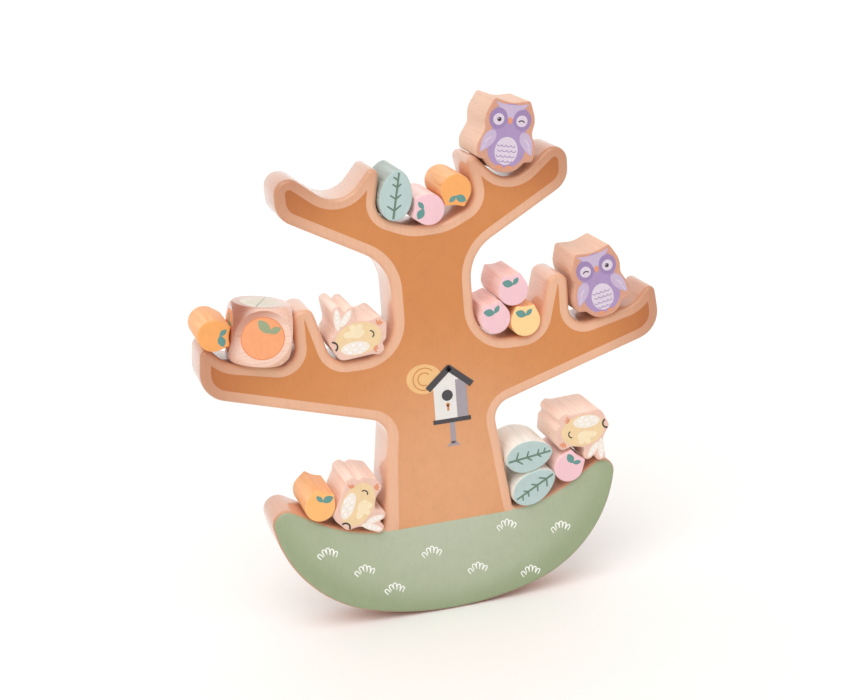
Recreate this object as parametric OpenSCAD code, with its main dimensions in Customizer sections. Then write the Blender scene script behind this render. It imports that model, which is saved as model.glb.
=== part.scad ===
// Balance tree game: a wooden tree that rocks on its base, and loose blocks to stack in its branches.
// Outlines lie in the XZ plane and are cut through along Y. The front faces -Y, and Z is up.
// The origin is on the rocker's lowest line, below the trunk and midway through the board.

/* [Tree board] */
// Thickness of the board
board_thick = 28; // [22:1:34]
// Width of the trunk between the low and the top branches
waist_w = 40; // [34:1:50]
// Width of the trunk just under the low branches
neck_w = 53; // [46:1:62]
// Width of the trunk where it meets the ground
foot_w = 67; // [60:1:76]
// Height of the ground at the trunk
ground_z = 47.6; // [40:0.2:55]

/* [Rocking base] */
// Width of the base between the corners of its two ends, before they are rounded
base_w = 181; // [160:1:210]
// Height of those corners
base_end_z = 73; // [66:1:82]
// Radius of the rocker under the trunk
rocker_r = 150; // [110:5:190]
// Slope at which the rocker's middle arc ends
rocker_slope = 16; // [12:0.1:22]
// Radius of the rocker towards its ends
rocker_side_r = 65; // [45:1:70]
// Rounding of the base's ends
base_end_r = 7; // [4:0.5:9]
// Radius of the hollow in the top of the base
base_hollow_r = 66; // [40:1:80]

/* [Low branches] */
// Height of the underside where it meets the trunk
low_root_z = 102.6; // [96:0.2:110]
// Height of the underside at the branch's tip
low_end_z = 129; // [120:1:136]
// Height of the floor of the pocket beside the trunk
low_floor_z = 136; // [130:1:142]
// Height of the wall between the two pockets, above that floor
low_wall_h = 28.4; // [22:0.2:36]
// Width of that wall at its top
low_wall_w = 9.4; // [7:0.2:13]
// Lean of that wall on its side to the trunk
low_wall_lean = 7.6; // [3:0.2:10]
// Height of the tip above the pocket's floor, before it is rounded
low_tip_h = 20; // [15:1:26]
// Length of the tip past the outer pocket
low_tip_l = 13.8; // [11:0.2:20]

/* [Top branches] */
// Height of the underside where it meets the trunk
top_root_z = 180.6; // [174:0.2:186]
// Rise of that underside from the trunk to the tip
top_under_rise = 28.7; // [22:0.1:34]
// Height of the floor of the middle pocket
top_floor_z = 197.4; // [193:0.2:204]
// Height of the middle pocket's prongs above its floor, before they are rounded
top_prong_h = 37.6; // [30:0.2:44]
// Lean of those prongs over the pocket
top_prong_lean = 5.4; // [3:0.2:8]
// Height of the notch's corner above that floor, before it is rounded
notch_h = 12.6; // [8:0.2:18]
// Radius of the notch
notch_r = 13.8; // [10:0.2:16]
// Length of the tip past the notch
top_tip_l = 14.4; // [10:0.1:22]

/* [Blocks] */
// Depth of the fruit, leaf, owl and bird blocks
block_depth = 30; // [24:1:36]
// Width of a fruit
fruit_w = 15.2; // [12:0.2:19]
// Rise of the corners of a fruit's crown above its round
crown_rise = 0.4; // [0.2:0.1:4]
// Width of a fruit's crown
crown_w = 9.2; // [5:0.2:10]
// Length of a leaf
leaf_l = 24.4; // [18:0.2:30]
// Width of a leaf
leaf_w = 16; // [11:0.2:19]
// Width of an owl over its wings
owl_w = 30.2; // [24:0.2:34]
// Width of an owl's head
owl_head_w = 26; // [20:0.2:28]
// Height of an owl up to its ears
owl_h = 35; // [31:0.5:40]
// Length of a bird
bird_l = 28.4; // [24:0.2:34]
// Height of a bird up to its tail
bird_h = 27; // [24:0.2:32]
// Edge of the die
die_w = 28.4; // [24:0.2:34]
// Diameter of the ball that rounds the die's corners
die_ball = 39; // [34:0.2:48]
// Turn of the die on the branch
die_turn = 2; // [0:1:12]

/* [Fits] */
// Clearance between a block and what carries it
gap = 0.35; // [0.3:0.05:1]
// Spare width in the pocket beside the trunk, past two fruits
low_spare = 1.2; // [0:0.1:4]
// Spare width in the outer pocket, past the die
outer_spare = 3.8; // [2:0.1:7]
// Spare width in the middle pocket, past a leaf and two fruits
top_spare = 3.6; // [2:0.1:8]
// Spare width in the notch, past an owl
notch_spare = 2.4; // [2:0.1:7]
// Distance of the blocks from the board's back face
back_step = 0.6; // [0.2:0.1:2]
// Distance of the die in front of that
die_forward = 5.5; // [0:0.5:8]

/* [Hidden] */

// Longest run and widest turn of one straight piece of a rounded corner
run_max = 3;
turn_max = 10;
// A height past every outline, for a place that has no outline above or below it
far_z = 10000;
// Points closer than this are one point
same = 0.01;

wood = [0.90, 0.70, 0.56];
pink = [0.95, 0.79, 0.82];
orange = [0.98, 0.70, 0.40];
leaf_green = [0.75, 0.82, 0.82];

function unit(v) = v / norm(v);
function flat(lists) = [for (l = lists) for (p = l) p];
function turned(points, a) = [
    for (p = points) [p[0] * cos(a) - p[1] * sin(a), p[0] * sin(a) + p[1] * cos(a)]
];
function moved(points, to) = [for (p = points) p + to];
function mirrored(points) = [for (i = [len(points) - 1 : -1 : 0]) [-points[i][0], points[i][1]]];
function swapped(points) = [for (p = points) [p[1], p[0]]];
function closed(points) = concat(points, [points[0]]);
function place(b) = [b[0], b[1]];

// Points of the rounded corner at b, which holds [x, z, radius], between the runs from a and to c.
// The outline runs anticlockwise, and grow moves it outwards.
function corner(a, b, c, grow) =
    let (
        at = place(b),
        to_a = unit(place(a) - at),
        to_c = unit(place(c) - at),
        half = acos(to_a * to_c) / 2,
        bulge = to_a[0] * to_c[1] - to_a[1] * to_c[0] < 0 ? 1 : -1,
        middle = at + unit(to_a + to_c) * b[2] / sin(half),
        r = b[2] + bulge * grow,
        sweep = 180 - 2 * half,
        steps = max(2, ceil(sweep / turn_max), ceil(sweep * PI / 180 * b[2] / run_max)),
        start = at + to_a * b[2] / tan(half) - middle,
        from = atan2(start[1], start[0])
    )
    [for (i = [0 : steps]) middle + r * [cos(from + bulge * sweep * i / steps),
                                         sin(from + bulge * sweep * i / steps)]];

// Length of the run that the rounding at b takes up on either side of it
function taken(a, b, c) =
    let (half = acos(unit(place(a) - place(b)) * unit(place(c) - place(b))) / 2)
    b[2] / tan(half);

// Corners of a closed outline, with each radius limited to the room on the runs beside it
function fitted(corners) =
    let (
        n = len(corners),
        need = [for (i = [0 : n - 1]) taken(corners[(i + n - 1) % n], corners[i], corners[(i + 1) % n])],
        share = [for (i = [0 : n - 1])
            min(1, norm(place(corners[(i + 1) % n]) - place(corners[i])) / (need[i] + need[(i + 1) % n]))]
    )
    [for (i = [0 : n - 1])
        [corners[i][0], corners[i][1], corners[i][2] * min(share[i], share[(i + n - 1) % n])]];

// Points of a closed outline, without those that fall on the one before
function apart(points) = [
    for (i = [0 : len(points) - 1])
        if (norm(points[i] - points[(i + len(points) - 1) % len(points)]) > same) points[i]
];

// The closed outline with rounded corners
function rounded(corners, grow = 0) =
    let (
        n = len(corners),
        fit = fitted(corners),
        arcs = [for (i = [0 : n - 1]) corner(fit[(i + n - 1) % n], fit[i], fit[(i + 1) % n], grow)]
    )
    apart(flat(arcs));

// The stretch of an outline from one of its corners to another
function stretch(corners, first, last, grow = 0) =
    flat([for (i = [first : last]) corner(corners[i - 1], corners[i], corners[i + 1], grow)]);

// Heights of a line of points at x
function heights(line, x) = [
    for (i = [0 : len(line) - 2])
        let (a = line[i], b = line[i + 1])
        if (min(a[0], b[0]) <= x && x <= max(a[0], b[0]) && a[0] != b[0])
            a[1] + (x - a[0]) / (b[0] - a[0]) * (b[1] - a[1])
];
function top_at(line, x) = max(concat(heights(line, x), [-far_z]));
function bottom_at(line, x) = min(concat(heights(line, x), [far_z]));

// How far a block has to rise to rest on one line of points
function rise_over(block, line) = max(concat(
    [for (p = block) top_at(line, p[0]) - p[1]],
    [for (q = line) q[1] - bottom_at(closed(block), q[0])]
));

// The place where a block turned by a rests at x, on the highest of the lines under it
function seat(shape, x, a, lines) =
    let (block = moved(turned(shape, a), [x, 0]))
    [x, max([for (l = lines) rise_over(block, l)])];

// The place where a block turned by a rests on the lines, pushed to the left against the walls.
// It starts at height z, and each pass drops the block and pushes it again.
function nestle(shape, a, lines, walls, z, passes = 12) =
    let (
        block = moved(turned(shape, a), [0, z]),
        x = max([for (w = walls) rise_over(swapped(block), swapped(w))]),
        at = seat(shape, x, a, lines)
    )
    passes == 0 ? at : nestle(shape, a, lines, walls, at[1], passes - 1);

// The same, pushed to the right against the walls
function nestle_right(shape, a, lines, walls, z) =
    let (at = nestle(mirrored(shape), -a, [for (l = lines) mirrored(l)], [for (w = walls) mirrored(w)], z))
    [-at[0], at[1]];

// Widths of the pockets, from what they hold
low_pocket_w = 2 * fruit_w + low_spare;
outer_pocket_w = max(die_w, owl_w) + outer_spare;
top_pocket_w = leaf_w + 2 * fruit_w + top_spare;
notch_w = owl_w + notch_spare;

// Distances from the tree's middle
low_corner_x = waist_w / 2 + low_pocket_w;
low_wall_in_x = low_corner_x + low_wall_lean;
low_wall_out_x = low_wall_in_x + low_wall_w;
low_slope_x = low_wall_out_x + outer_pocket_w;
low_tip_x = low_slope_x + low_tip_l;
top_corner_x = top_pocket_w / 2;
notch_x = top_corner_x + notch_w / 2;
top_tip_x = notch_x + notch_w / 2 + top_tip_l;

// Fillets between the trunk and the branches, and the round ends of the branches
foot_r = 2.5;
low_root_r = 10;
low_end_r = 14;
low_tip_r = 3.2;
low_slope_r = 15;
wall_top_r = 4.6;
outer_corner_r = fruit_w / 2 + 0.6;
low_corner_r = fruit_w / 2 + 2.4;
trunk_corner_r = 17;
top_root_r = 22;
top_end_r = 12;
top_tip_r = 7;
prong_r = 3.2;
top_corner_r = fruit_w / 2 + 1.2;
top_floor_r = 24;

// Shares of the outline that follow the sizes above
side_lean = 9.4;
hollow_out = 18;
hollow_rise = 1.8;
tip_lean = 3;
slope_rise = 8;
outer_floor_rise = 0.4;
top_corner_rise = 7.6;
top_floor_in = 17;

rocker_x = rocker_r * tan(rocker_slope / 2);
side_x = base_w / 2 - side_lean;

// Corners of the right half of the tree, from the rocker up to the middle pocket
half_tree = [
    [rocker_x, 0, rocker_r],
    [side_x, (side_x - rocker_x) * tan(rocker_slope), rocker_side_r],
    [base_w / 2, base_end_z, base_end_r],
    [foot_w / 2 + hollow_out, ground_z + hollow_rise, base_hollow_r],
    [foot_w / 2, ground_z, foot_r],
    [neck_w / 2, low_root_z, low_root_r],
    [low_tip_x, low_end_z, low_end_r],
    [low_tip_x - tip_lean, low_floor_z + low_tip_h, low_tip_r],
    [low_slope_x, low_floor_z + slope_rise, low_slope_r],
    [low_wall_out_x, low_floor_z + outer_floor_rise, outer_corner_r],
    [low_wall_out_x, low_floor_z + low_wall_h, wall_top_r],
    [low_wall_in_x, low_floor_z + low_wall_h, wall_top_r],
    [low_corner_x, low_floor_z, low_corner_r],
    [waist_w / 2, low_floor_z, trunk_corner_r],
    [waist_w / 2, top_root_z, top_root_r],
    [top_tip_x, top_root_z + top_under_rise, top_end_r],
    [top_tip_x, top_floor_z + top_prong_h, top_tip_r],
    [notch_x, top_floor_z + notch_h, notch_r],
    [top_corner_x - top_prong_lean, top_floor_z + top_prong_h, prong_r],
    [top_corner_x, top_floor_z + top_corner_rise, top_corner_r],
    [top_corner_x - top_floor_in, top_floor_z, top_floor_r]
];
function mirrored_corners(corners) = [
    for (i = [len(corners) - 1 : -1 : 0]) [-corners[i][0], corners[i][1], corners[i][2]]
];
tree = fitted(concat(half_tree, mirrored_corners(half_tree)));
CORNER_LAST = len(half_tree) - 1;

// What the blocks rest on and are pushed against: stretches of the outline, a clearance out from it
base_floor = stretch(tree, 2, 4, gap);
foot_side = stretch(tree, 4, 5, gap);
outer_floor = stretch(tree, 7, 9, gap);
inner_floor = stretch(tree, 11, 13, gap);
notch_floor = stretch(tree, 16, 18, gap);
middle_floor = stretch(tree, 19, CORNER_LAST + 2, gap);
function outer_wall(room = 0) = stretch(tree, 9, 10, gap + room);
function prong_side(room = 0) = stretch(tree, 18, 19, gap + room);

// A fruit: round below, with straight sides up to a crown of two corners and a dip between them
crown_dip = 0.8;
crown_r = 0.9;
crown_dip_r = 8;
function fruit_shape(grow = 0) =
    let (
        r = fruit_w / 2,
        top = r + crown_rise,
        lean = asin(r / norm([crown_w / 2, top])) - atan2(crown_w / 2, top),
        shoulder = r * tan(lean / 2)
    )
    rounded([
        [-r, -r, r], [r, -r, r], [r, shoulder, r], [crown_w / 2, top, crown_r],
        [0, top - crown_dip, crown_dip_r],
        [-crown_w / 2, top, crown_r], [-r, shoulder, r]
    ], grow);

// A leaf: an egg that comes to a blunt point, lying along X
leaf_step = 7.5;
leaf_point = 1.12;
leaf_skew = 0.14;
function leaf_shape(grow = 0) = [
    for (a = [0 : leaf_step : 360 - leaf_step])
        [(leaf_l / 2 + grow) * cos(a),
         (leaf_w / 2 + grow) * sign(sin(a)) * pow(abs(sin(a)), leaf_point) * (1 - leaf_skew * cos(a))]
];

// An owl, with its origin under it: bowl, wing, neck, cheek and ear, in shares of its widths and height
half_owl = [
    [0.18 * owl_w, 0, 9],
    [0.32 * owl_w, 0.154 * owl_h, 2],
    [0.46 * owl_w, 0.177 * owl_h, 1.6],
    [0.5 * owl_w, 0.329 * owl_h, 8],
    [0.45 * owl_head_w, 0.56 * owl_h, 6],
    [0.5 * owl_head_w, 0.743 * owl_h, 12],
    [0.344 * owl_head_w, owl_h, 1.6]
];
owl_brow = [0, 0.943 * owl_h, 14];
function owl_shape(grow = 0) = rounded(concat(half_owl, [owl_brow], mirrored_corners(half_owl)), grow);

// A bird lying along X, with its head to the right and its tail up, in shares of its length and height
bird_corners = [
    [-0.37, -0.46, 4.5], [0.21, -0.41, 2.5], [0.32, -0.44, 2.2], [0.44, -0.335, 2.4],
    [0.38, -0.23, 1.5], [0.46, -0.16, 2], [0.49, 0.13, 2.6], [0.37, 0.27, 2.4], [0.18, 0.2, 8],
    [-0.05, 0.26, 2], [-0.02, 0.49, 2], [-0.155, 0.49, 2], [-0.23, 0.41, 0.8],
    [-0.29, 0.54, 2], [-0.445, 0.53, 2.4], [-0.39, 0.105, 6], [-0.52, -0.125, 2.4]
];
function bird_shape(grow = 0) =
    rounded([for (c = bird_corners) [c[0] * bird_l, c[1] * bird_h, c[2]]], grow);

// The die's outline from the front: the round rims of its turned sides, joined by its flat lid and floor
die_rim_r = min(die_w / 2, sqrt(pow(die_ball / 2, 2) - pow(die_w / 2, 2)));
function die_side(grow, side) = [
    for (a = [-90 : leaf_step : 90])
        [side * (die_w / 2 * cos(die_turn) + die_rim_r * sin(die_turn) * cos(a) + grow),
         side * (die_rim_r + grow) * sin(a)]
];
function die_lid(grow, side) = [
    for (x = [die_rim_r, -die_rim_r]) [side * x, side * (die_w / 2 + grow)]
];
function die_shape(grow = 0) =
    concat(die_side(grow, 1), die_lid(grow, 1), die_side(grow, -1), die_lid(grow, -1));

// How each block is turned, anticlockwise from the front
die_a = -10;
owl_top_a = -12;
owl_right_a = 10;
bird_left_a = 0;
bird_base_left_a = -113;
bird_base_right_a = 178;
leaf_top_a = 78;
leaf_base_lower_a = 28;
leaf_base_upper_a = 7;
pink_top_a = 78;
pink_lower_a = 11;
pink_upper_a = 5;
pink_base_a = -42;
orange_top_a = 172;
orange_right_a = -2;
orange_left_a = -99;
orange_base_a = -24;

function placed(shape, at, a) = moved(turned(shape, a), at);
function grown_fruit(at, a) = placed(fruit_shape(gap), at, a);
function grown_leaf(at, a) = placed(leaf_shape(gap), at, a);

// Middle pocket: a pink fruit on the floor, an orange one by the right prong, a leaf by the left one
top_pink_x = 0.8;
top_orange_room = 0.8;
pink_top_at = seat(fruit_shape(), top_pink_x, pink_top_a, [middle_floor]);
orange_top_at = nestle_right(fruit_shape(), orange_top_a,
    [middle_floor, grown_fruit(pink_top_at, pink_top_a)], [prong_side(top_orange_room)],
    top_floor_z + fruit_w);
leaf_top_at = nestle(leaf_shape(), leaf_top_a,
    [middle_floor, grown_fruit(pink_top_at, pink_top_a)], [mirrored(prong_side())],
    top_floor_z + fruit_w);

// Notch: an owl, a little towards the trunk
notch_owl_in = 3.2;
owl_top_at = seat(owl_shape(), notch_x - notch_owl_in, owl_top_a, [notch_floor]);

// Right low branch: two fruits and a third on top beside the trunk, and an owl in the outer pocket
low_fruit_out = 2.2;
upper_fruit_out = 2.3;
owl_room = 1.4;
pink_lower_at = seat(fruit_shape(), waist_w / 2 + fruit_w / 2 + low_fruit_out, pink_lower_a, [inner_floor]);
orange_right_at = nestle(fruit_shape(), orange_right_a, [inner_floor],
    [grown_fruit(pink_lower_at, pink_lower_a)], low_floor_z + fruit_w / 2);
pink_upper_x = (pink_lower_at[0] + orange_right_at[0]) / 2 + upper_fruit_out;
pink_upper_at = seat(fruit_shape(), pink_upper_x, pink_upper_a,
    [grown_fruit(pink_lower_at, pink_lower_a), grown_fruit(orange_right_at, orange_right_a)]);
owl_right_at = nestle(owl_shape(), owl_right_a, [outer_floor], [outer_wall(owl_room)], low_floor_z);

// Left low branch: a bird beside the trunk, the die against the wall and a fruit between it and the tip
bird_left_out = 2.3;
bird_left_at = seat(bird_shape(), -(waist_w / 2 + low_corner_x) / 2 - bird_left_out, bird_left_a,
    [mirrored(inner_floor)]);
die_at = nestle_right(die_shape(), die_a, [mirrored(outer_floor)], [mirrored(outer_wall())],
    low_floor_z + die_w / 2);
orange_left_at = nestle_right(fruit_shape(), orange_left_a, [mirrored(outer_floor)],
    [placed(die_shape(gap), die_at, die_a)], low_floor_z + low_tip_h);

// Base, left: a bird against the trunk and a fruit against the bird
bird_base_left_at = nestle_right(mirrored(bird_shape()), bird_base_left_a, [mirrored(base_floor)],
    [mirrored(foot_side)], ground_z + bird_l / 2);
orange_base_at = nestle_right(fruit_shape(), orange_base_a, [mirrored(base_floor)],
    [placed(mirrored(bird_shape(gap)), bird_base_left_at, bird_base_left_a)], ground_z + fruit_w);

// Base, right: two leaves against the trunk, a fruit against the lower one and a bird on the fruit
base_bird_out = 7.6;
leaf_base_lower_at = nestle(leaf_shape(), leaf_base_lower_a, [base_floor], [foot_side],
    ground_z + leaf_w / 2);
pink_base_at = nestle(fruit_shape(), pink_base_a, [base_floor],
    [grown_leaf(leaf_base_lower_at, leaf_base_lower_a)], ground_z + fruit_w);
leaf_base_upper_at = nestle(leaf_shape(), leaf_base_upper_a,
    [grown_leaf(leaf_base_lower_at, leaf_base_lower_a), grown_fruit(pink_base_at, pink_base_a)],
    [foot_side], ground_z + leaf_l);
bird_base_right_at = seat(bird_shape(), pink_base_at[0] + base_bird_out, bird_base_right_a, [
    base_floor,
    grown_fruit(pink_base_at, pink_base_a),
    grown_leaf(leaf_base_upper_at, leaf_base_upper_a)
]);

// A block cut through along Y, with its back a step in front of the board's back
module cut_block(points) {
    translate([0, board_thick / 2 - back_step - block_depth / 2, 0])
        rotate([90, 0, 0])
            linear_extrude(block_depth, center = true)
                polygon(points);
}

module fruit(at, a) {
    cut_block(placed(fruit_shape(), at, a));
}

module leaf(at, a) {
    cut_block(placed(leaf_shape(), at, a));
}

module tree_board() {
    color(wood)
        rotate([90, 0, 0])
            linear_extrude(board_thick, center = true)
                polygon(rounded(tree));
}

module die() {
    back = die_w / 2 * cos(die_turn) + die_rim_r * sin(die_turn);
    color(wood)
        translate([die_at[0], board_thick / 2 - back_step - die_forward - back, die_at[1]])
            rotate([0, -die_a, 0])
                rotate([0, 0, -die_turn])
                    intersection() {
                        cube(die_w, center = true);
                        sphere(d = die_ball, $fn = 96);
                    }
}

module owl_top() {
    color(wood) cut_block(placed(owl_shape(), owl_top_at, owl_top_a));
}

module owl_right() {
    color(wood) cut_block(placed(owl_shape(), owl_right_at, owl_right_a));
}

module bird_left() {
    color(wood) cut_block(placed(bird_shape(), bird_left_at, bird_left_a));
}

module bird_base_left() {
    color(wood) cut_block(placed(mirrored(bird_shape()), bird_base_left_at, bird_base_left_a));
}

module bird_base_right() {
    color(wood) cut_block(placed(bird_shape(), bird_base_right_at, bird_base_right_a));
}

module leaf_top() {
    color(leaf_green) leaf(leaf_top_at, leaf_top_a);
}

module leaf_base_upper() {
    color(leaf_green) leaf(leaf_base_upper_at, leaf_base_upper_a);
}

module leaf_base_lower() {
    color(leaf_green) leaf(leaf_base_lower_at, leaf_base_lower_a);
}

module pink_fruit_top() {
    color(pink) fruit(pink_top_at, pink_top_a);
}

module pink_fruit_lower() {
    color(pink) fruit(pink_lower_at, pink_lower_a);
}

module pink_fruit_upper() {
    color(pink) fruit(pink_upper_at, pink_upper_a);
}

module pink_fruit_base() {
    color(pink) fruit(pink_base_at, pink_base_a);
}

module orange_fruit_top() {
    color(orange) fruit(orange_top_at, orange_top_a);
}

module orange_fruit_right() {
    color(orange) fruit(orange_right_at, orange_right_a);
}

module orange_fruit_left() {
    color(orange) fruit(orange_left_at, orange_left_a);
}

module orange_fruit_base() {
    color(orange) fruit(orange_base_at, orange_base_a);
}

tree_board();
die();
owl_top();
owl_right();
bird_left();
bird_base_left();
bird_base_right();
leaf_top();
leaf_base_upper();
leaf_base_lower();
pink_fruit_top();
pink_fruit_lower();
pink_fruit_upper();
pink_fruit_base();
orange_fruit_top();
orange_fruit_right();
orange_fruit_left();
orange_fruit_base();
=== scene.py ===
import math

import bmesh
import bpy
from bpy.props import FloatProperty, FloatVectorProperty, PointerProperty
from bpy.types import Operator, Panel, PropertyGroup
from mathutils import Matrix, Vector
from mathutils.geometry import intersect_line_line_2d
from mathutils.kdtree import KDTree


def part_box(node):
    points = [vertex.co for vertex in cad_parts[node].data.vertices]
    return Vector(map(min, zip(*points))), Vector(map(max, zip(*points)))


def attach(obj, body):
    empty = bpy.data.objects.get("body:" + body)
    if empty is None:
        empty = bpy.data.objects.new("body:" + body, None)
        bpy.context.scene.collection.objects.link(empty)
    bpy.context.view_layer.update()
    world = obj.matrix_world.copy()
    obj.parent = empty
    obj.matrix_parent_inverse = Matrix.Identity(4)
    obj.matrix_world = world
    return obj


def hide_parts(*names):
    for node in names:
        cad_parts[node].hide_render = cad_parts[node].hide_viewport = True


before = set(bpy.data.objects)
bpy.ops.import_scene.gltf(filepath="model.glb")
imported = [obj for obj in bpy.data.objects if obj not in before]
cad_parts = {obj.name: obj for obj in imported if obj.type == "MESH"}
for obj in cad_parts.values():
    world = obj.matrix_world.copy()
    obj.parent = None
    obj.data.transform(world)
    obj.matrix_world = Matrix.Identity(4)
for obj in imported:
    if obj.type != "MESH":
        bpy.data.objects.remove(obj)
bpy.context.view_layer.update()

bl_info = {
    "name": "Balance Tree Game",
    "version": (1, 0, 0),
    "blender": (4, 5, 0),
    "location": "View3D > Sidebar > Balance Tree",
    "description": "Dresses a wooden rocking tree and the blocks stacked in its branches",
    "category": "Object",
}

MM = 0.001
BOARD_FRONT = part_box("tree_board")[0].y
# Heights of the printed ground line and of the upper end of the trunk's foot, and half the foot's width
GROUND = 47.2 * MM
FOOT_TOP = 84.0 * MM
FOOT_HALF = 33.0 * MM
# Points on the front, with the distances at which a tone starts and ends: a painted sheen pales the print at
# the foot, and painted shade deepens the wood and print at the tips and the green along the rocker
FOOT_SHEEN_REACH = ((0.0, BOARD_FRONT, 1.35 * GROUND), 100 * MM, 10 * MM)
TIP_SHADE_REACH = ((0.0, BOARD_FRONT, 130 * MM), 78 * MM, 118 * MM)
ROCKER_SHADE_REACH = ((0.0, BOARD_FRONT, 100 * MM), 86 * MM, 100 * MM)

# Each tuft's place on the base, across and up in millimetres, and its lean in degrees
TUFTS = [
    (-62.6, 41.4, 6), (-44.9, 29.2, 4), (-30.6, 16.9, 4), (-10.2, 32.9, 0),
    (29.4, 40.3, -4), (12.8, 20.1, 0), (40.4, 13.4, -4), (57.7, 34.2, -4),
]
# Each print's place on its block, across and up in millimetres, and its turn in degrees seen from the front
# A fruit also has its paint, and a fruit or bird the side it faces
FRUITS = {
    "pink_fruit_top": (0.8, 205.3, 78, "pink", 1),
    "pink_fruit_lower": (29.8, 147.6, 11, "pink", 1),
    "pink_fruit_upper": (39.7, 160.4, 5, "pink", 1),
    "pink_fruit_base": (62.9, 65.6, -42, "pink", 1),
    "orange_fruit_top": (14.7, 213.1, 172, "amber", 1),
    "orange_fruit_right": (44.9, 144.2, -2, "yellow", 1),
    "orange_fruit_left": (-107.3, 159.1, -99, "amber", -1),
    "orange_fruit_base": (-63.5, 66.2, -6, "orange", -1),
}
LEAVES = {
    "leaf_top": (-14.8, 214.0, 78),
    "leaf_base_upper": (42.7, 74.7, 7),
    "leaf_base_lower": (44.3, 58.4, 208),
}
# An owl also has the side of its closed eye
OWLS = {"owl_top": (38.1, 218.6, -12, 1), "owl_right": (86.8, 140.9, 10, -1)}
BIRDS = {
    "bird_left": (-38.1, 150.1, 0, 1),
    "bird_base_left": (-43.8, 64.5, -113, -1),
    "bird_base_right": (70.5, 81.6, 178, 1),
}
# Half the die's edge in millimetres, its turns in degrees and the radius of its edges
DIE_HALF = 14.2
DIE_ROLL, DIE_YAW = -10, 2
DIE_EDGE_ROUND = 0.5 * MM
# The die's painted shade and reflection: a point beside its middle, with the distances at which it starts and
# ends
DIE_SHADE_REACH = (Vector((10, 0, -18)) * MM, 27 * MM, 36 * MM)
DIE_DEEP_SHADE_REACH = (Vector((18, 0, -12)) * MM, 33 * MM, 39 * MM)

# The camera's place and its directions at the photograph's viewing angle, with lens and sensor in millimetres
CAMERA_AT = (-0.2255, -0.8706, 0.3942)
CAMERA_RIGHT = (0.9599, -0.2707, -0.0729)
CAMERA_UP = (0.1435, 0.2511, 0.9573)
CAMERA_OUT = (-0.2409, -0.9293, 0.2799)
LENS, SENSOR = 80.0, 36.0
# Where the lights stand, the point that they look at, and their spread
KEY_AT, KEY_SPREAD = (-0.35, -0.8, 1.5), math.radians(50)
FILL_AT, FILL_SIZE = (-0.9, -1.1, 0.9), 1.0
TREE_MIDDLE = Vector((0.0, 0.0, 0.12))
# In metres, the radius of the floor and a distance that the camera sees no further than
FLOOR_RADIUS, VIEW_END = 30.0, 100.0
SKY_TINT = (1.0, 0.99, 0.98, 1.0)

# Shares of a face's normal along the depth: of a flat cut face, of the printed front of the base with the
# start of its rounding, and of the front or back of a block with its rounding
FLAT, INKED, FACING = 0.99, 0.7, 0.3
SHARP_EDGE = math.radians(34)
WHITE = (1, 1, 1, 1)


def srgb(red, green, blue):
    """A colour given in 0 to 255 as seen on a screen, as Blender's linear numbers."""
    return tuple(
        v / 12.92 if v <= 0.04045 else ((v + 0.055) / 1.055) ** 2.4
        for v in (red / 255, green / 255, blue / 255)
    )


def colour(name, description, red, green, blue):
    return FloatVectorProperty(
        name=name, description=description, subtype="COLOR", size=3,
        min=0.0, max=1.0, default=srgb(red, green, blue),
    )


def length(name, description, millimetres):
    return FloatProperty(
        name=name, description=description, unit="LENGTH", subtype="DISTANCE",
        min=0.0, default=millimetres * MM, precision=5,
    )


class BoardLook(PropertyGroup):
    edge_round: length("Edge round", "Radius of the tree board's rounded edges", 2.7)
    rim_width: length("Rim width", "Width of bare wood round the brown print", 5.1)
    foot_rim: length("Foot rim", "Extra width of bare wood on the left of the trunk's foot", 2.4)
    rim_lift: length("Rim lift", "Rise of the brown print on the board", 0.4)
    wood: colour("Wood", "Bare wood of the tree board", 233, 180, 146)
    # Painted shade: the bare wood darkens towards the tips of the branches
    wood_tip_shade: colour("Deep wood", "Bare wood towards the tips of the branches", 196, 137, 104)
    side: colour("Side", "Sawn sides of the tree board", 238, 190, 162)
    # Painted shade: the sawn sides darken towards the tips of the branches
    side_tip_shade: colour("Deep side", "Sawn sides towards the tips of the branches", 207, 150, 120)
    bark: colour("Bark", "Printed brown of the trunk and branches", 211, 135, 75)
    # Painted shade: the printed brown darkens towards the tips of the branches
    bark_tip_shade: colour("Deep bark", "Printed brown towards the tips of the branches", 178, 102, 53)
    # Painted sheen: the printed brown pales towards the foot of the trunk
    bark_foot_sheen: colour("Pale bark", "Printed brown towards the foot of the trunk", 224, 162, 116)
    ground: colour("Ground", "Printed green of the rocking base", 161, 173, 139)
    # Painted shade: the printed green darkens along the rocker
    ground_rocker_shade: colour("Deep ground", "Printed green along the rocker", 153, 166, 131)
    # Painted sheen: the printed green pales under the trunk
    ground_foot_sheen: colour("Pale ground", "Printed green under the trunk", 184, 192, 168)
    tuft: colour("Tuft", "Printed tufts of grass", 250, 250, 245)
    house: colour("House", "Printed wall of the nesting box", 232, 228, 224)
    roof: colour("Roof", "Printed roof and door of the nesting box", 70, 66, 70)
    shade: colour("Shade", "Printed grey of the nesting box", 165, 155, 162)
    knot: colour("Knot", "Printed pale knot in the bark", 238, 190, 130)


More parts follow.
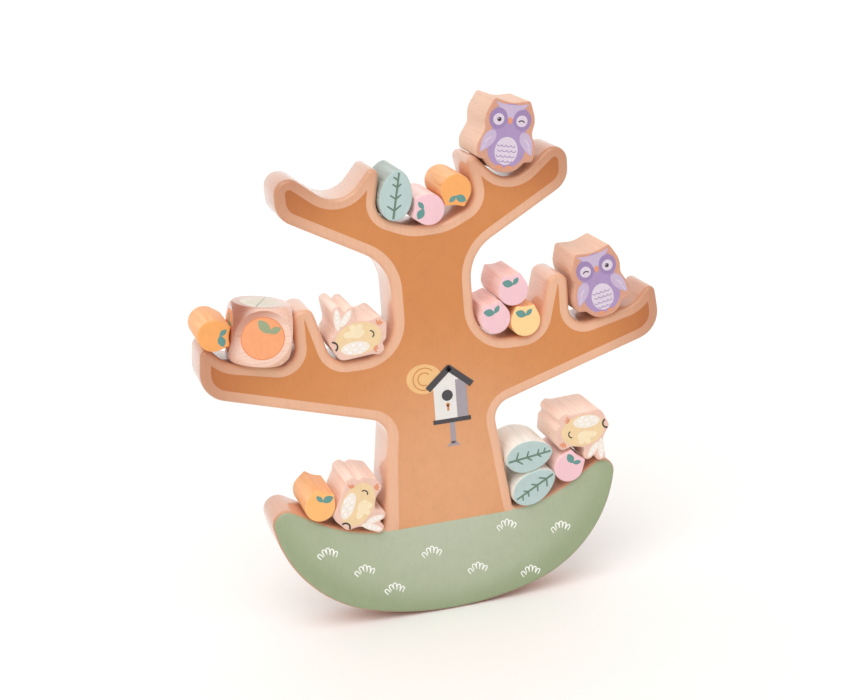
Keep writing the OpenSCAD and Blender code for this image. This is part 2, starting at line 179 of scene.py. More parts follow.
class BlockLook(PropertyGroup):
    edge_round: length("Edge round", "Radius of the blocks' edges", 0.7)
    owl_wood: colour("Owl wood", "Bare sides of the owls", 234, 192, 166)
    bird_wood: colour("Bird wood", "Bare sides of the birds", 253, 225, 210)
    owl_end: colour("Owl end", "Sawn front of the owls", 216, 158, 132)
    bird_end: colour("Bird end", "Sawn front of the birds", 238, 198, 182)
    die: colour("Die", "Lacquered wood of the die", 244, 204, 184)
    # Painted shade and dark reflection on the left of the die's faces
    die_warm: colour("Warm die", "Warmer wood on the left of the die's faces", 196, 134, 110)
    # Deeper painted shade and dark reflection in the top left corners of the die
    die_heart: colour("Die heart", "Heart wood in the top left corners of the die", 166, 98, 72)
    pink: colour("Pink", "Painted front of the pink fruits", 243, 198, 206)
    orange: colour("Orange", "Painted front of the orange fruits", 251, 188, 116)
    yellow: colour("Yellow", "Painted front of the palest orange fruit", 252, 212, 150)
    amber: colour("Amber", "Painted front of the deepest orange fruits", 248, 172, 98)
    green: colour("Green", "Painted front of the leaf blocks", 184, 204, 202)
    pink_side: colour("Pink side", "Stained sides of the pink fruits", 254, 216, 210)
    orange_side: colour("Orange side", "Stained sides of the orange fruits", 248, 182, 124)
    green_side: colour("Green side", "Washed sides of the leaf blocks on the base", 246, 247, 240)
    # Painted shade: a darker copy of the leaf side colour, for the leaf block in the top pocket
    green_shaded_side: colour("Deep green side", "Washed sides of the leaf block in the top pocket", 178, 190, 184)
    vein: colour("Vein", "Printed veins of the leaf blocks", 104, 130, 112)
    sprig: colour("Sprig", "Printed sprig on the fruits", 98, 150, 144)


class PrintLook(PropertyGroup):
    owl: colour("Owl", "Printed plumage of the owls", 172, 146, 190)
    mask: colour("Mask", "Printed feathers round the owls' eyes", 157, 131, 177)
    lilac: colour("Lilac", "Printed brow and wings of the owls", 200, 180, 208)
    pale: colour("Pale", "Printed eyes and belly of the owls", 222, 207, 222)
    dark: colour("Dark", "Printed eyes and fine lines", 52, 42, 46)
    beak: colour("Beak", "Printed beaks, crests and feet", 230, 152, 112)
    bird: colour("Bird", "Printed plumage of the birds", 240, 210, 164)
    wing: colour("Wing", "Printed wings of the birds", 247, 228, 192)
    belly: colour("Belly", "Printed tails and bellies of the birds", 243, 233, 221)
    down: colour("Down", "Printed spots on tails and bellies", 250, 245, 244)
    disc: colour("Disc", "Printed fruit on the die", 248, 166, 116)
    ring: colour("Ring", "Printed edge of the fruit on the die", 236, 138, 84)
    sage: colour("Sage", "Printed leaves on the die", 156, 168, 132)
    lid: colour("Lid", "Printed large leaf on the die", 226, 220, 207)
    lid_vein: colour("Lid veins", "Printed side veins of that leaf", 208, 208, 192)


class StageLook(PropertyGroup):
    floor: colour("Floor", "Plain pale floor", 250, 249, 247)
    key: FloatProperty(
        name="Key light", description="Strength of the soft light from above", min=0.0, default=1.4,
    )
    fill: FloatProperty(
        name="Fill light", description="Power of the front light", unit="POWER", default=1.0,
    )
    sky: FloatProperty(name="Sky", description="Brightness of the surroundings", min=0.0, default=0.76)
    sweep: FloatProperty(
        name="Sweep", description="Share by which the surroundings are brighter behind than in front",
        subtype="FACTOR", min=0.0, max=1.0, default=0.4,
    )


class TreeGameLook(PropertyGroup):
    board: PointerProperty(type=BoardLook)
    block: PointerProperty(type=BlockLook)
    prints: PointerProperty(type=PrintLook)
    stage: PointerProperty(type=StageLook)


# Finishes

def shaded(rgb, share):
    """The same colour, lighter or darker by a share."""
    return tuple(min(1.0, v * share) for v in rgb) + (1.0,)


def new_finish(name):
    """A material with its shader, and its place on the piece to hang patterns on."""
    finish = bpy.data.materials.new(name)
    finish.use_nodes = True
    nodes, links = finish.node_tree.nodes, finish.node_tree.links
    shader = nodes["Principled BSDF"]
    place = nodes.new("ShaderNodeTexCoord")
    return finish, nodes, links, shader, place


def noise(nodes, links, place, scale, detail, roughness=0.5, distortion=0.0):
    """Noise stretched over the piece by three scales, in cycles to the metre."""
    mapping = nodes.new("ShaderNodeMapping")
    mapping.inputs["Scale"].default_value = scale
    links.new(place.outputs["Object"], mapping.inputs["Vector"])
    texture = nodes.new("ShaderNodeTexNoise")
    texture.inputs["Scale"].default_value = 1.0
    texture.inputs["Detail"].default_value = detail
    texture.inputs["Roughness"].default_value = roughness
    texture.inputs["Distortion"].default_value = distortion
    links.new(mapping.outputs["Vector"], texture.inputs["Vector"])
    return texture.outputs["Fac"]


def grain(along, across, lengthwise):
    """Scales of a pattern that is drawn out along one axis."""
    return tuple(lengthwise if axis == along else across for axis in "XYZ")


def ramp(nodes, links, source, stops):
    """Colours along a value."""
    node = nodes.new("ShaderNodeValToRGB")
    for place, _ in stops[1:-1]:
        node.color_ramp.elements.new(place)
    for element, (place, rgba) in zip(node.color_ramp.elements, stops):
        element.position, element.color = place, rgba
    links.new(source, node.inputs["Fac"])
    return node.outputs["Color"]


def spread(nodes, links, source, low, high):
    """A value from low to high as the source goes through its middle."""
    node = nodes.new("ShaderNodeMapRange")
    node.inputs["From Min"].default_value = 0.3
    node.inputs["From Max"].default_value = 0.7
    node.inputs["To Min"].default_value = low
    node.inputs["To Max"].default_value = high
    links.new(source, node.inputs["Value"])
    return node.outputs["Result"]


def multiplied(nodes, links, first, second, share):
    """Two colours laid over each other."""
    node = nodes.new("ShaderNodeMix")
    node.data_type, node.blend_type = "RGBA", "MULTIPLY"
    node.inputs["Factor"].default_value = share
    links.new(first, node.inputs["A"])
    links.new(second, node.inputs["B"])
    return node.outputs["Result"]


def fade(nodes, links, source, start, end):
    """A share that goes smoothly from 0 where the source is at start to 1 where it is at end."""
    node = nodes.new("ShaderNodeMapRange")
    node.interpolation_type = "SMOOTHSTEP"
    node.inputs["From Min"].default_value = start
    node.inputs["From Max"].default_value = end
    links.new(source, node.inputs["Value"])
    return node.outputs["Result"]


def far_share(nodes, links, place, point, start, end):
    """A share that goes from 0 at one distance from a point of the piece to 1 at another."""
    far = nodes.new("ShaderNodeVectorMath")
    far.operation = "DISTANCE"
    far.inputs[1].default_value = point
    links.new(place.outputs["Object"], far.inputs[0])
    return fade(nodes, links, far.outputs["Value"], start, end)


def blended(nodes, links, share, first, second):
    """One colour that turns into another by a share."""
    node = nodes.new("ShaderNodeMix")
    node.data_type = "RGBA"
    links.new(share, node.inputs["Factor"])
    links.new(first, node.inputs["A"])
    links.new(second, node.inputs["B"])
    return node.outputs["Result"]


def relief(nodes, links, shader, source, height, strength):
    """Fine relief on the shader."""
    bump = nodes.new("ShaderNodeBump")
    bump.inputs["Strength"].default_value = strength
    bump.inputs["Distance"].default_value = height
    links.new(source, bump.inputs["Height"])
    links.new(bump.outputs["Normal"], shader.inputs["Normal"])


def wood_finish(name, rgb, along, depth=1.0, gloss=0.46, coat=0.0, lift=0.12 * MM, painted_shade=None):
    """Sanded wood: broad tone, fine streaks and short dark flecks along the grain.

    Painted shade is a darker colour that the wood turns to, with a point and two distances from it."""
    finish, nodes, links, shader, place = new_finish(name)
    tone = noise(nodes, links, place, grain(along, 60, 9), detail=3, roughness=0.55, distortion=0.4)
    streak = noise(nodes, links, place, grain(along, 900, 22), detail=4, roughness=0.6)
    fleck = noise(nodes, links, place, grain(along, 1500, 130), detail=2)

    def toned(tint):
        return ramp(nodes, links, tone, [
            (0.25, shaded(tint, 1.0 - 0.13 * depth)), (0.5, shaded(tint, 1.0)),
            (0.8, shaded(tint, 1.0 + 0.07 * depth)),
        ])

    base = toned(rgb)
    # Painted shade: the wood darkens to another colour away from a point
    if painted_shade:
        dark, *reach = painted_shade
        base = blended(nodes, links, far_share(nodes, links, place, *reach), base, toned(dark))
    lines = ramp(nodes, links, streak, [
        (0.3, (0.86, 0.78, 0.72, 1)), (0.52, WHITE), (0.8, (1, 0.98, 0.96, 1)),
    ])
    flecks = ramp(nodes, links, fleck, [(0.27, (0.72, 0.6, 0.52, 1)), (0.36, WHITE), (0.6, WHITE)])
    streaked = multiplied(nodes, links, base, lines, 0.7 * depth)
    links.new(multiplied(nodes, links, streaked, flecks, 0.6 * depth), shader.inputs["Base Color"])
    links.new(spread(nodes, links, streak, gloss - 0.07, gloss + 0.09), shader.inputs["Roughness"])
    relief(nodes, links, shader, streak, lift, 0.35)
    shader.inputs["Coat Weight"].default_value = coat
    shader.inputs["Coat Roughness"].default_value = 0.12
    return finish


def stain_finish(name, rgb, along="Y"):
    """Wood stained through: the grain shows as paler and deeper streaks of the same hue."""
    finish, nodes, links, shader, place = new_finish(name)
    tone = noise(nodes, links, place, grain(along, 150, 18), detail=3, roughness=0.55, distortion=0.5)
    streak = noise(nodes, links, place, grain(along, 1100, 30), detail=4, roughness=0.62)
    deep, light, faint = [tuple(v ** power for v in rgb) for power in (1.18, 0.8, 0.4)]
    base = ramp(nodes, links, tone, [
        (0.3, shaded(deep, 0.92)), (0.5, shaded(rgb, 1.0)), (0.72, shaded(light, 1.04)),
    ])
    lines = ramp(nodes, links, streak, [(0.32, shaded(faint, 0.9)), (0.5, WHITE), (0.8, WHITE)])
    links.new(multiplied(nodes, links, base, lines, 0.9), shader.inputs["Base Color"])
    links.new(spread(nodes, links, streak, 0.46, 0.6), shader.inputs["Roughness"])
    relief(nodes, links, shader, streak, 0.1 * MM, 0.35)
    return finish


def ink_finish(name, rgb, mottle=0.5, pale=None, deep=None):
    """Printing ink on wood: slightly uneven, with the wood's fine grain under it.

    With a pale colour, a painted sheen pales the ink towards it round the foot of the trunk. A deep colour is
    painted shade that it darkens to, with a point and two distances from it."""
    finish, nodes, links, shader, place = new_finish(name)
    cloud = noise(nodes, links, place, (170, 170, 170), detail=4, roughness=0.6)
    pore = noise(nodes, links, place, grain("Z", 1400, 240), detail=3, roughness=0.6)

    def clouded(tint):
        return ramp(nodes, links, cloud, [
            (0.3, shaded(tint, 1.0 - 0.055 * mottle)), (0.5, shaded(tint, 1.0)),
            (0.72, shaded(tint, 1.0 + 0.05 * mottle)),
        ])

    base = clouded(rgb)
    # Painted sheen: the ink pales towards the foot of the trunk
    if pale:
        base = blended(nodes, links, far_share(nodes, links, place, *FOOT_SHEEN_REACH), base, clouded(pale))
    # Painted shade: the ink darkens away from a point
    if deep:
        dark, *reach = deep
        base = blended(nodes, links, far_share(nodes, links, place, *reach), base, clouded(dark))
    pores = ramp(nodes, links, pore, [(0.3, (0.93, 0.92, 0.91, 1)), (0.46, WHITE), (0.8, WHITE)])
    links.new(multiplied(nodes, links, base, pores, 0.8), shader.inputs["Base Color"])
    links.new(spread(nodes, links, pore, 0.5, 0.62), shader.inputs["Roughness"])
    relief(nodes, links, shader, pore, 0.06 * MM, 0.3)
    return finish


def inks(look, *names):
    """Ink finishes for named colours of the prints, each made once."""
    return [
        bpy.data.materials.get("ink_" + name) or ink_finish("ink_" + name, tuple(getattr(look, name)))
        for name in names
    ]


# Shapes

def keep(name, bm, finishes, body, slot, *nodes):
    """The finished piece, on the body it moves with and in place of its solid."""
    mesh = bpy.data.meshes.new(name)
    for face in bm.faces:
        face.smooth = True
    bm.to_mesh(mesh)
    bm.free()
    mesh.set_sharp_from_angle(angle=SHARP_EDGE)
    for finish in finishes:
        mesh.materials.append(finish)
    piece = bpy.data.objects.new(name, mesh)
    bpy.context.scene.collection.objects.link(piece)
    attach(piece, body)
    if nodes:
        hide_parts(*nodes)
    return piece


def solid_copy(node):
    """The solid of a node as one closed mesh with whole flat faces."""
    bm = bmesh.new()
    bm.from_mesh(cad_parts[node].data)
    bmesh.ops.remove_doubles(bm, verts=bm.verts, dist=1e-6)
    bmesh.ops.dissolve_limit(
        bm, angle_limit=math.radians(0.1), use_dissolve_boundaries=False, verts=bm.verts, edges=bm.edges,
    )
    return bm


def cut_faces(bm):
    """The flat front and back of a piece that is cut through from front to back."""
    return [face for face in bm.faces if abs(face.normal.y) > FLAT]


def round_cut_edges(bm, radius, segments):
    """Round the edges of the front and back over, with a narrow ring that keeps the flats flat."""
    flats = set(cut_faces(bm))
    rims = [edge for edge in bm.edges if len(flats.intersection(edge.link_faces)) == 1]
    bmesh.ops.bevel(
        bm, geom=rims, offset=radius, offset_type="OFFSET", affect="EDGES", segments=segments,
        profile=0.5, material=-1, clamp_overlap=True,
    )
    bmesh.ops.inset_region(bm, faces=cut_faces(bm), thickness=0.15 * MM, use_even_offset=True)


def block_copy(node, radius, back=1):
    """A block with its cut edges rounded, and its front with that rounding in the finish number 1.

    The back has the finish with the number given, and the sides have number 0."""
    bm = solid_copy(node)
    round_cut_edges(bm, radius, 3)
    for face in bm.faces:
        to_back = face.normal.y
        face.material_index = 1 if to_back < -FACING else back if to_back > FACING else 0
    return bm


def front_outline(node):
    """Corners of a node's flat front in order, as x and z in metres."""
    bm = solid_copy(node)
    front = min(cut_faces(bm), key=lambda face: face.calc_center_median().y)
    outline = [(v.co.x, v.co.z) for v in front.verts]
    bm.free()
    return outline


def without_loops(points, reach=40):
    """A closed line with each small loop cut off where it crosses itself."""
    for start in (0, len(points) // 2):
        points = points[start:] + points[:start]
        i = 0
        while i < len(points) - 3:
            for j in range(min(i + reach, len(points) - 2), i + 1, -1):
                crossing = intersect_line_line_2d(points[i], points[i + 1], points[j], points[j + 1])
                if crossing:
                    points[i + 1:j + 1] = [tuple(crossing)]
                    break
            i += 1
    return points


def inner_line(outline, width, step=0.8 * MM, slack=0.12 * MM):
    """The line that runs a width inside an outline, without the loops where two sides come together.

    The outline is followed in steps, and a point may be nearer to it than the width by the slack."""
    points = []
    for (x0, z0), (x1, z1) in zip(outline, outline[1:] + outline[:1]):
        parts = max(1, math.ceil(math.hypot(x1 - x0, z1 - z0) / step))
        points += [(x0 + (x1 - x0) * i / parts, z0 + (z1 - z0) * i / parts) for i in range(parts)]
    near = KDTree(len(points))
    for i, (x, z) in enumerate(points):
        near.insert((x, 0, z), i)
    near.balance()
    area = sum(a[0] * b[1] - b[0] * a[1] for a, b in zip(points, points[1:] + points[:1]))
    side = 1 if area > 0 else -1
    inner = []
    for i, (x, z) in enumerate(points):
        before, after = points[i - 1], points[(i + 1) % len(points)]
        along = Vector((after[0] - before[0], after[1] - before[1])).normalized()
        moved = (x - side * along.y * width, z + side * along.x * width)
        if near.find((moved[0], 0, moved[1]))[2] > width - slack:
            inner.append(moved)
    return without_loops(inner)


def on_front(x, z, turn, front, mirror=1):
    """From a print's own plane, across, up and out in millimetres, to the front of a block."""
    return (
        Matrix.Translation((x * MM, front, z * MM))
        @ Matrix.Rotation(math.radians(-turn), 4, "Y")
        @ Matrix.Rotation(math.radians(90), 4, "X")
        @ Matrix.Diagonal((mirror * MM, MM, MM, 1))
    )


class Print:
    """Thin printed shapes on one flat face, drawn in millimetres in the plane of that face.

    A shape starts sunk into the face, and layer 1 is the first that stands out of it."""

    SUNK = -0.05
    FIRST_RISE, LAYER_RISE = 0.02, 0.035

    def __init__(self, place):
        self.place = place
        self.bm = bmesh.new()

    def raise_ink(self, faces, ink, layer):
        """Give flat faces the thickness of their layer of ink."""
        grown = bmesh.ops.extrude_face_region(self.bm, geom=faces)["geom"]
        tops = [g for g in grown if isinstance(g, bmesh.types.BMVert)]
        bmesh.ops.translate(self.bm, verts=tops, vec=(0, 0, layer * self.LAYER_RISE + self.FIRST_RISE))
        reached = {face for v in tops for face in v.link_faces} | set(faces)
        for face in reached:
            face.material_index = ink

    def spot(self, ink, layer, x, y, wide, high, turn=0.0, point=0.0, tip=0.0, segments=28):
        """An ellipse: point narrows it towards both ends of its width, and tip towards the far end."""
        made = bmesh.ops.create_circle(self.bm, cap_ends=True, radius=1.0, segments=segments)["verts"]
        for v in made:
            v.co.y *= (1 - point * v.co.x ** 2) * (1 - tip * ((1 + v.co.x) / 2) ** 2)
        bmesh.ops.transform(self.bm, verts=made, matrix=(
            Matrix.Translation((x, y, self.SUNK)) @ Matrix.Rotation(math.radians(turn), 4, "Z")
            @ Matrix.Diagonal((wide / 2, high / 2, 1, 1))
        ))
        self.raise_ink([made[0].link_faces[0]], ink, layer)

    def bar(self, ink, layer, x0, y0, x1, y1, width, taper=1.0):
        """A straight stroke, narrowed towards its end by taper."""
        made = bmesh.ops.create_grid(self.bm, x_segments=1, y_segments=1, size=0.5)["verts"]
        for v in made:
            if v.co.x > 0:
                v.co.y *= taper
        stroke = Vector((x1 - x0, y1 - y0))
        bmesh.ops.transform(self.bm, verts=made, matrix=(
            Matrix.Translation(((x0 + x1) / 2, (y0 + y1) / 2, self.SUNK))
            @ Matrix.Rotation(math.atan2(stroke.y, stroke.x), 4, "Z")
            @ Matrix.Diagonal((stroke.length, width, 1, 1))
        ))
        self.raise_ink([made[0].link_faces[0]], ink, layer)

    def arc(self, ink, layer, x, y, radius, start, sweep, width, steps=12):
        """A curved stroke round a centre, from start through sweep degrees."""
        rims = (radius - width / 2, radius + width / 2)
        ends = [self.bm.verts.new((x + r, y, self.SUNK)) for r in rims]
        edge = self.bm.edges.new(ends)
        bmesh.ops.rotate(
            self.bm, verts=ends, cent=(x, y, 0), matrix=Matrix.Rotation(math.radians(start), 3, "Z"),
        )
        bmesh.ops.spin(
            self.bm, geom=[*ends, edge], cent=(x, y, 0), axis=(0, 0, 1), angle=math.radians(sweep),
            steps=steps, use_duplicate=False,
        )
        seen, front = set(), list(edge.link_faces)
        while front:
            face = front.pop()
            seen.add(face)
            front += [f for e in face.edges for f in e.link_faces if f not in seen]
        self.raise_ink(list(seen), ink, layer)

    def patch(self, ink, layer, outline, cut=None):
        """A shape with any outline, or where cut is given its largest part above that height."""
        before = set(self.bm.faces)
        verts = [self.bm.verts.new((x, y, self.SUNK)) for x, y in outline]
        face = self.bm.faces.new(verts)
        face.normal_update()
        if cut is not None:
            bmesh.ops.bisect_plane(
                self.bm, geom=[face, *face.edges, *verts], dist=1e-4, plane_co=(0, cut, 0),
                plane_no=(0, 1, 0), clear_inner=True,
            )
        parts = sorted((f for f in self.bm.faces if f not in before), key=lambda f: f.calc_area())
        bmesh.ops.delete(self.bm, geom=parts[:-1], context="FACES")
        self.raise_ink(parts[-1:], ink, layer)

    def keep(self, name, finishes, body, slot):
        bmesh.ops.transform(self.bm, matrix=self.place, verts=self.bm.verts)
        bmesh.ops.recalc_face_normals(self.bm, faces=self.bm.faces)
        return keep(name, self.bm, finishes, body, slot)


# Pieces

class TREEGAME_OT_board(Operator):
    """Make the tree board with its rounded edges, brown print and green ground"""

    bl_idname = "tree_game.board"
    bl_label = "Tree board"

    def execute(self, context):
        look = context.scene.tree_game.board
        bm = solid_copy("tree_board")
        round_cut_edges(bm, look.edge_round, 6)
        bmesh.ops.bisect_plane(
            bm, geom=[*bm.verts, *bm.edges, *bm.faces], dist=1e-7, plane_co=(0, 0, GROUND),
            plane_no=(0, 0, 1),
        )
        bare, green, sawn = range(3)
        for face in bm.faces:
            middle = face.calc_center_median()
            low = middle.z < GROUND or (abs(middle.x) > FOOT_HALF and middle.z < 2 * GROUND)
            if low and face.normal.y < -INKED:
                face.material_index = green
            else:
                face.material_index = sawn if abs(face.normal.y) < FACING else bare
        # The bare wood and the sawn sides darken towards the tips of the branches as painted shade
        wood = wood_finish(
            "board_wood", tuple(look.wood), "Z", depth=0.4, gloss=0.4, coat=0.4,
            painted_shade=(tuple(look.wood_tip_shade), *TIP_SHADE_REACH),
        )
        side = wood_finish(
            "board_side_wood", tuple(look.side), "Y", depth=0.8, gloss=0.4, coat=0.9,
            painted_shade=(tuple(look.side_tip_shade), *TIP_SHADE_REACH),
        )
        # The green darkens along the rocker as painted shade and pales under the trunk as a painted sheen
        ground = ink_finish(
            "board_ground", tuple(look.ground), pale=tuple(look.ground_foot_sheen),
            deep=(tuple(look.ground_rocker_shade), *ROCKER_SHADE_REACH),
        )
        keep("tree_board_wood", bm, [wood, ground, side], "tree", "tree_wood", "tree_board")

        front = Print(on_front(0, look.rim_lift / MM, 0, BOARD_FRONT))
        bark = []
        for x, z in inner_line(front_outline("tree_board"), look.rim_width):
            low = min(1.0, max(0.0, (FOOT_TOP - z) / (FOOT_TOP - GROUND))) if x < 0 else 0.0
            bark.append(((x + low * look.foot_rim) / MM, z / MM))
        front.patch(0, 1, bark, cut=(GROUND - look.rim_lift) / MM)
        # The brown darkens towards the tips as painted shade and pales at the foot as a painted sheen
        brown = ink_finish(
            "board_bark", tuple(look.bark), pale=tuple(look.bark_foot_sheen),
            deep=(tuple(look.bark_tip_shade), *TIP_SHADE_REACH),
        )
        front.keep("bark_print", [brown], "tree", "tree_wood")
        return {"FINISHED"}


class TREEGAME_OT_ground_print(Operator):
    """Print the tufts of grass on the base and a nesting box on the trunk"""

    bl_idname = "tree_game.ground_print"
    bl_label = "Tufts and nesting box"

    def tuft(self, front, x, z, lean):
        """Five round blades that fan out from one foot."""
        blade_r, line = 0.82, 0.6
        for blade, (across, up, reach) in enumerate([
            (-4.4, -0.8, 2.1), (-2.1, 1.2, 2.3), (0.0, 1.8, 2.2), (2.0, 0.8, 2.2), (3.9, -0.7, 2.1),
        ]):
            tilt, layer = lean - across * 8, 2 + blade % 2
            cx, cz = x + across, z + up
            front.arc(0, layer, cx, cz, blade_r, tilt, 180, line, 8)
            a = math.radians(tilt)
            for side in (-blade_r, blade_r):
                sx, sz = cx + side * math.cos(a), cz + side * math.sin(a)
                front.bar(0, layer, sx, sz, sx + reach * math.sin(a), sz - reach * math.cos(a), line, 0.8)

    def nesting_box(self, front):
        """A plain nesting box on a post, with a pale knot beside it."""
        house, shade, roof, knot, bark = range(5)
        front.spot(knot, 3, -7.5, 122, 15, 18, 80)
        for r in (3.2, 5.6):
            front.arc(bark, 4, -7.5, 122, r, 40, 250, 0.55, 24)
        front.bar(shade, 3, 5, 86, 5, 101, 2.6)
        front.bar(shade, 3, 5, 86, 5, 88.4, 7, 0.3)
        front.patch(house, 5, [(-3.4, 100), (13.4, 100), (13.4, 118), (5, 125), (-3.4, 118)])
        front.bar(shade, 6, 10.6, 100, 10.6, 119.6, 5.6)
        front.bar(roof, 7, -6.2, 116.2, 5.6, 126.4, 3.2)
        front.bar(roof, 7, 16.2, 116.2, 4.4, 126.4, 3.2)
        front.spot(roof, 7, 3.4, 112.2, 5.6, 5.6)
        front.bar(bark, 7, 3.4, 104.4, 3.4, 107.4, 1.0)
        front.spot(bark, 7, 3.4, 107.4, 2, 2)
        front.bar(roof, 6, -4.6, 99.2, 14.6, 99.2, 2.2)

    def execute(self, context):
        look = context.scene.tree_game.board
        place = on_front(0, 0, 0, BOARD_FRONT)
        tufts = Print(place)
        for x, z, lean in TUFTS:
            self.tuft(tufts, x, z, lean)
        tufts.keep("tuft_print", inks(look, "tuft"), "tree", "tree_wood")
        box = Print(place)
        self.nesting_box(box)
        finishes = inks(look, "house", "shade", "roof", "knot", "bark")
        box.keep("nesting_box_print", finishes, "tree", "tree_wood")
        return {"FINISHED"}


class TREEGAME_OT_fruits(Operator):
    """Make the pink and orange fruit blocks with a printed sprig"""

    bl_idname = "tree_game.fruits"
    bl_label = "Fruit blocks"

    def execute(self, context):
        look = context.scene.tree_game.block
        stains = {
            "pink": stain_finish("fruit_pink_side", tuple(look.pink_side)),
            "orange": stain_finish("fruit_orange_side", tuple(look.orange_side)),
        }
        for node, (x, z, turn, paint, mirror) in FRUITS.items():
            hue = node.split("_")[0]
            finishes = [stains[hue], *inks(look, paint)]
            keep(node + "_block", block_copy(node, look.edge_round), finishes, node, hue + "_wood", node)
            sprig = Print(on_front(x, z, turn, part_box(node)[0].y, mirror))
            sprig.spot(0, 1, -2.4, 4.0, 5.6, 3.7, 158, 0.45)
            sprig.spot(0, 2, 1.7, 4.4, 4.3, 2.4, 44, 0.45)
            sprig.keep(node + "_print", inks(look, "sprig"), node, hue + "_wood")
        return {"FINISHED"}


class TREEGAME_OT_leaves(Operator):
    """Make the leaf blocks with printed veins"""

    bl_idname = "tree_game.leaves"
    bl_label = "Leaf blocks"

    def execute(self, context):
        look = context.scene.tree_game.block
        pale = stain_finish("leaf_pale_side", tuple(look.green_side))
        # Painted shade: the leaf block in the top pocket gets darker sides
        deep = stain_finish("leaf_deep_side", tuple(look.green_shaded_side))
        for node, (x, z, turn) in LEAVES.items():
            finishes = [deep if node == "leaf_top" else pale, *inks(look, "green")]
            keep(node + "_block", block_copy(node, look.edge_round), finishes, node, "green_wood", node)
            veins = Print(on_front(x, z, turn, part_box(node)[0].y))
            veins.bar(0, 2, -11.2, 0, 11.0, 0, 1.1, 0.85)
            for along, left, right in [(-7.2, 4.2, 4.2), (-1.6, 3.3, 3.3), (4.0, 2.8, 2.5), (7.4, 2.7, 0)]:
                veins.bar(0, 1, along, 0, along + 0.45 * left, 0.9 * left, 0.95, 0.8)
                if right:
                    veins.bar(0, 1, along, 0, along + 0.72 * right, -0.7 * right, 0.95, 0.8)
            veins.keep(node + "_print", inks(look, "vein"), node, "green_wood")
        return {"FINISHED"}


class TREEGAME_OT_owls(Operator):
    """Make the owl blocks with their print"""

    bl_idname = "tree_game.owls"
    bl_label = "Owl blocks"

    def draw_owl(self, art, wink):
        """The owl's picture, with the eye closed on the side of its wink."""
        plum, mask, lilac, pale, dark, beak = range(6)
        for layer, (up, wide, high) in enumerate([
            (11.2, 18.8, 18.0), (17.0, 19.4, 13.0), (25.1, 20.8, 15.2),
        ], 1):
            art.spot(plum, layer, 0, up, wide, high, segments=48)
        brow = [(x / 2, 32.2 + 1.2 * (x / 17) ** 2) for x in range(17, -18, -2)]
        art.patch(lilac, 4, [(0, 24.2), *brow])
        for side in (-1, 1):
            art.spot(mask, 5, side * 5.9, 25.4, 8.9, 10.0)
            art.spot(pale, 6, side * 5.8, 25.0, 5.5, 5.5)
            if side == wink:
                art.arc(dark, 7, side * 5.7, 23.5, 1.7, 32, 116, 0.6)
            else:
                art.spot(dark, 7, side * 5.5, 25.0, 2.1, 2.1, segments=16)
                art.spot(pale, 8, side * 5.5 - 0.4, 25.4, 0.6, 0.6, segments=10)
            art.spot(lilac, 5, side * 9.9, 14.3, 12.2, 6.6, -90 + side * 29, tip=0.7)
            art.arc(pale, 6, side * 5.8, 11.6, 5.4, 90 - side * 72, side * 44, 0.5)
            art.arc(pale, 6, side * 7.6, 9.4, 4.4, 90 - side * 78, side * 36, 0.4)
            art.spot(beak, 6, side * 2.3, 2.7, 3.6, 1.3, side * 6)
        art.spot(beak, 7, 0, 24.6, 3.4, 2.6, -90, tip=0.6)
        art.spot(pale, 5, 0, 10.3, 11.4, 13.4, segments=40)
        for up, arcs, shift in [(13.4, 4, -0.3), (11.0, 4, 0.3), (8.4, 4, -0.2), (6.0, 3, 0.2)]:
            for i in range(arcs):
                art.arc(mask, 6, (i - (arcs - 1) / 2) * 2.3 + shift, up, 1.1, 192, 156, 0.36, 8)

    def execute(self, context):
        scene = context.scene.tree_game
        bare = wood_finish("owl_wood", tuple(scene.block.owl_wood), "Y")
        sawn = wood_finish("owl_end_grain", tuple(scene.block.owl_end), "Y", depth=0.6, gloss=0.55)
        back = wood_finish("owl_back_grain", tuple(scene.block.owl_wood), "Y", depth=0.4, gloss=0.55)
        for node, (x, z, turn, wink) in OWLS.items():
            bm = block_copy(node, scene.block.edge_round, back=2)
            keep(node + "_block", bm, [bare, sawn, back], node, "plain_wood", node)
            art = Print(on_front(x, z, turn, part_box(node)[0].y))
            self.draw_owl(art, wink)
            finishes = inks(scene.prints, "owl", "mask", "lilac", "pale", "dark", "beak")
            art.keep(node + "_print", finishes, node, "plain_wood")
        return {"FINISHED"}


